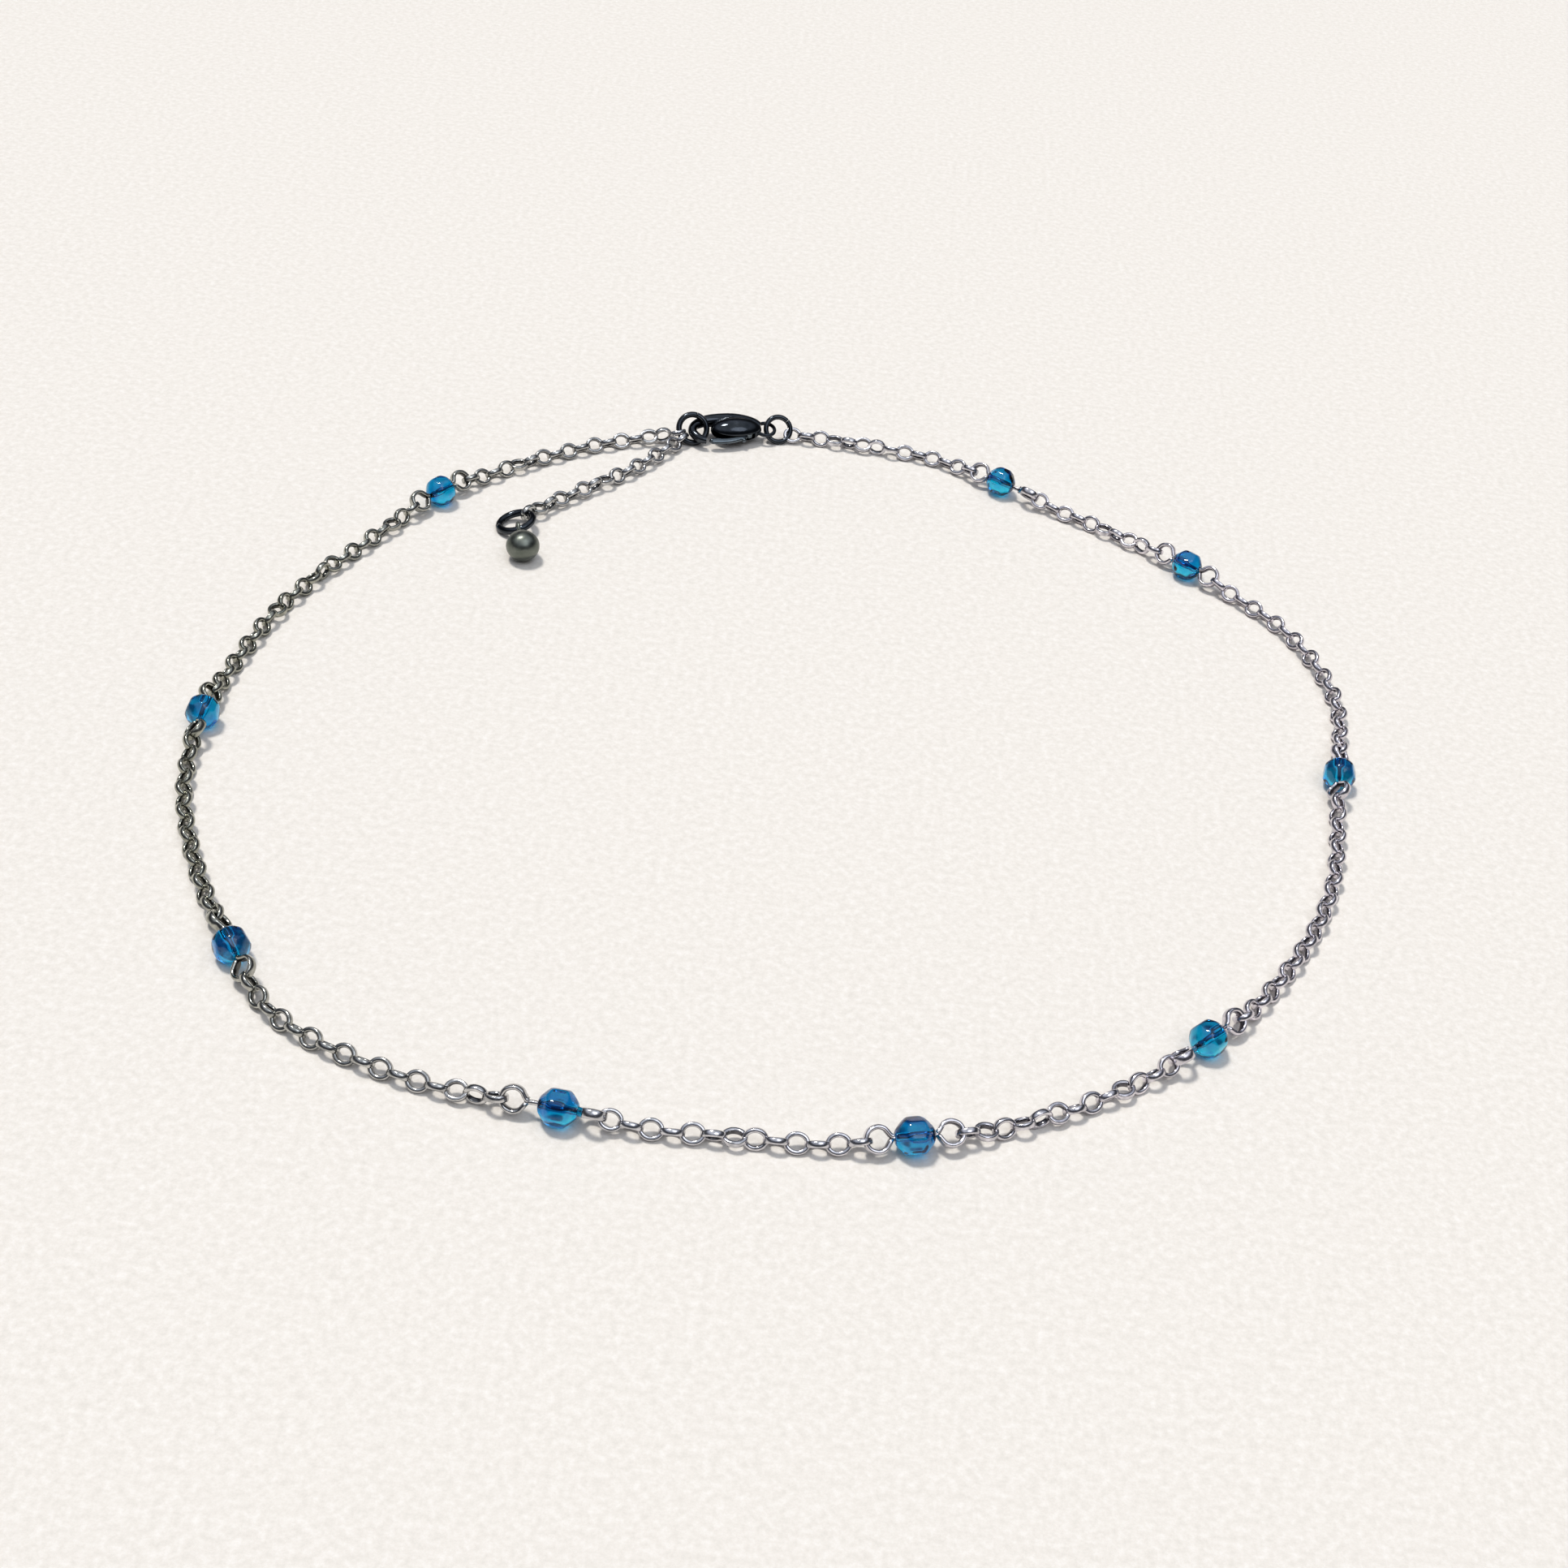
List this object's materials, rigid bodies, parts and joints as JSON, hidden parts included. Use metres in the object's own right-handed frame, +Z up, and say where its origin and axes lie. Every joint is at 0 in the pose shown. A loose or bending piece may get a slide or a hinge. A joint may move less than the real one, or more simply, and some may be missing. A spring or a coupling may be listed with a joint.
{
  "type": "beaded chain necklace",
  "caption": "Fine cable chain necklace with faceted blue glass beads on eye pins, a lobster clasp, an extender chain and a small polished drop.",
  "frame": {"origin": "the middle of the necklace's box, on the surface it lies on", "axes": "+Z up from the surface; +Y from the bead opposite the clasp towards the clasp; +X to the right as seen from the bead opposite the clasp, so the free extender lies on the -X side"},
  "size_m": [0.1428, 0.1448, 0.0041],
  "materials": {
    "blue_glass": "transparent, faceted and polished",
    "steel": "polished",
    "dark_metal": "dark plated and polished",
    "polished_drop": "grey, smooth and polished"
  },
  "bodies": {
    "root": {"bead_1": "blue_glass", "bead_2": "blue_glass", "bead_3": "blue_glass", "bead_4": "blue_glass", "bead_5": "blue_glass", "bead_6": "blue_glass", "bead_7": "blue_glass", "bead_8": "blue_glass", "bead_9": "blue_glass", "eye_pin_1": "steel", "eye_pin_2": "steel", "eye_pin_3": "steel", "eye_pin_4": "steel", "eye_pin_5": "steel", "eye_pin_6": "steel", "eye_pin_7": "steel", "eye_pin_8": "steel", "eye_pin_9": "steel", "chain_1": "steel", "chain_2": "steel", "chain_3": "steel", "chain_4": "steel", "chain_5": "steel", "chain_6": "steel", "chain_7": "steel", "chain_8": "steel", "chain_9": "steel", "chain_10": "steel", "extender_chain": "steel", "catch_ring": "dark_metal", "clasp_ring": "dark_metal", "end_ring": "dark_metal", "clasp_body": "dark_metal", "end_drop": "polished_drop"},
    "lever": {"clasp_lever": "dark_metal"}
  },
  "joints": [
    {"name": "clasp_lever_hinge", "type": "hinge", "parent": "root", "child": "lever", "pos_m": [-0.01052, 0.06891, 0.00169], "axis": [-0.0564, 0.2001, -0.9781], "range_deg": [0, 10], "stiffness_Nm_per_rad": 0.01}
  ]
}
